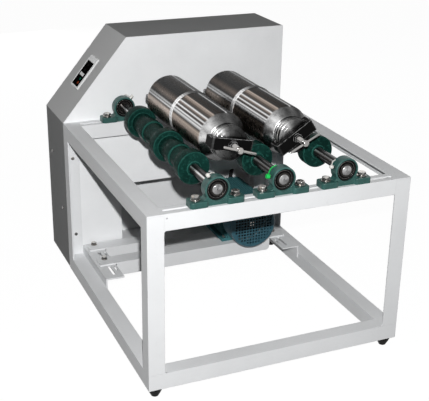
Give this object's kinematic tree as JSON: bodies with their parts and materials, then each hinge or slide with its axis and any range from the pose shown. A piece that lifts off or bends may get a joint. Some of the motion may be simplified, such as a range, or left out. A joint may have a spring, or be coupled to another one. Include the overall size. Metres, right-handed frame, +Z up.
{
  "type": "jar mill",
  "caption": "Bench jar mill: steel jars with clamped lids lie on rubber covered rollers in an open frame, driven by belts from a motor through a cabinet with a control panel.",
  "frame": {"origin": "on the floor under the centre of the whole machine's box", "axes": "+X to the right side, +Y to the back where the cabinet is, +Z up"},
  "size_m": [0.6732, 0.886, 0.692],
  "materials": {
    "frame_paint": "satin light grey powder coat",
    "cabinet_paint": "satin grey powder coat",
    "foot_rubber": "black moulded rubber",
    "zinc_steel": "zinc plated",
    "polished_steel": "turned and polished",
    "cast_green": "green enamel on casting",
    "bearing_steel": "ground steel with black seals",
    "roller_rubber": "dark green moulded rubber",
    "motor_paint": "teal enamel",
    "pulley_iron": "turned",
    "belt_rubber": "matt rubber",
    "clamp_black": "black oxide",
    "bezel_grey": "fine grain",
    "face_black": "gloss",
    "display": "clear window over a pale display",
    "key_green": "satin",
    "key_red": "satin",
    "key_grey": "satin",
    "inlet_black": "moulded",
    "fan_plastic": "moulded",
    "cap_green": "soft plastic",
    "gasket": "soft white rubber"
  },
  "bodies": {
    "frame": {"legs": "frame_paint", "top_rail_front": "frame_paint", "top_rail_rear": "frame_paint", "top_rail_left": "frame_paint", "top_rail_right": "frame_paint", "base_rail_front": "frame_paint", "base_rail_rear": "frame_paint", "base_rail_left": "frame_paint", "base_rail_right": "frame_paint", "motor_brackets": "frame_paint", "cross_members": "frame_paint", "rubber_feet": "foot_rubber", "frame_bolts": "zinc_steel", "cabinet_screws": "zinc_steel", "block_bolts": "zinc_steel", "grease_nipples": "zinc_steel", "cabinet_shell": "cabinet_paint", "cabinet_front_panel": "cabinet_paint", "cabinet_back_cover": "cabinet_paint", "power_inlet": "inlet_black", "control_bezel": "bezel_grey", "control_face": "face_black", "control_display": "display", "pillow_blocks": "cast_green", "bearing_outer_rings": "bearing_steel", "nipple_cap": "cap_green", "motor_body": "motor_paint", "motor_end_shields": "motor_paint", "fan_cowl": "motor_paint", "terminal_box": "motor_paint", "drive_belts": "belt_rubber"},
    "motor_rotor": {"rotor_shaft": "polished_steel", "motor_fan": "fan_plastic", "motor_pulley": "pulley_iron"},
    "left_roller": {"left_roller_shaft": "polished_steel", "left_roller_inner_rings": "polished_steel", "left_roller_sleeve": "roller_rubber", "left_roller_pulley": "pulley_iron"},
    "middle_roller": {"middle_roller_shaft": "polished_steel", "middle_roller_inner_rings": "polished_steel", "middle_roller_sleeve": "roller_rubber", "middle_roller_pulley": "pulley_iron"},
    "right_roller": {"right_roller_shaft": "polished_steel", "right_roller_inner_rings": "polished_steel", "right_roller_sleeve": "roller_rubber", "right_roller_pulley": "pulley_iron"},
    "left_jar": {"left_jar_shell": "polished_steel", "left_jar_lid": "polished_steel", "left_jar_gasket": "gasket", "left_clamp_bar": "clamp_black"},
    "left_screw": {"left_clamp_screw": "zinc_steel"},
    "right_jar": {"right_jar_shell": "polished_steel", "right_jar_lid": "polished_steel", "right_jar_gasket": "gasket", "right_clamp_bar": "clamp_black"},
    "right_screw": {"right_clamp_screw": "zinc_steel"},
    "start_button": {"start_key": "key_green"},
    "stop_button": {"stop_key": "key_red"},
    "up_button": {"up_key": "key_grey"},
    "down_button": {"down_key": "key_grey"}
  },
  "joints": [
    {"name": "left_roller_spin", "type": "hinge", "parent": "frame", "child": "left_roller", "pos_m": [-0.166, 0, 0.5025], "axis": [0, 1, 0], "continuous": true},
    {"name": "middle_roller_spin", "type": "hinge", "parent": "frame", "child": "middle_roller", "pos_m": [-0.003, 0, 0.5025], "axis": [0, 1, 0], "continuous": true},
    {"name": "right_roller_spin", "type": "hinge", "parent": "frame", "child": "right_roller", "pos_m": [0.16, 0, 0.5025], "axis": [0, 1, 0], "continuous": true},
    {"name": "motor_spin", "type": "hinge", "parent": "frame", "child": "motor_rotor", "pos_m": [0.16, 0, 0.165], "axis": [0, 1, 0], "continuous": true},
    {"name": "left_jar_spin", "type": "hinge", "parent": "frame", "child": "left_jar", "pos_m": [-0.0845, 0, 0.56096], "axis": [0, 1, 0], "continuous": true},
    {"name": "left_clamp_turn", "type": "hinge", "parent": "left_jar", "child": "left_screw", "pos_m": [-0.0845, -0.319, 0.56096], "axis": [0, 1, 0], "range_deg": [-990, 0]},
    {"name": "right_jar_spin", "type": "hinge", "parent": "frame", "child": "right_jar", "pos_m": [0.0785, 0, 0.56096], "axis": [0, 1, 0], "continuous": true},
    {"name": "right_clamp_turn", "type": "hinge", "parent": "right_jar", "child": "right_screw", "pos_m": [0.0785, -0.325, 0.56096], "axis": [0, 1, 0], "range_deg": [-990, 0]},
    {"name": "start_key_press", "type": "slide", "parent": "frame", "child": "start_button", "axis": [0.7705, 0, -0.6375], "range_m": [0, 0.001], "stiffness_N_per_m": 400},
    {"name": "stop_key_press", "type": "slide", "parent": "frame", "child": "stop_button", "axis": [0.7705, 0, -0.6375], "range_m": [0, 0.001], "stiffness_N_per_m": 400},
    {"name": "up_key_press", "type": "slide", "parent": "frame", "child": "up_button", "axis": [0.7705, 0, -0.6375], "range_m": [0, 0.001], "stiffness_N_per_m": 400},
    {"name": "down_key_press", "type": "slide", "parent": "frame", "child": "down_button", "axis": [0.7705, 0, -0.6375], "range_m": [0, 0.001], "stiffness_N_per_m": 400}
  ],
  "couplings": [
    {"joint": "left_roller_spin", "follows": "middle_roller_spin", "ratio": 1},
    {"joint": "right_roller_spin", "follows": "middle_roller_spin", "ratio": 1},
    {"joint": "motor_spin", "follows": "middle_roller_spin", "ratio": 2.7037},
    {"joint": "left_jar_spin", "follows": "middle_roller_spin", "ratio": -0.6667},
    {"joint": "right_jar_spin", "follows": "middle_roller_spin", "ratio": -0.6667}
  ]
}
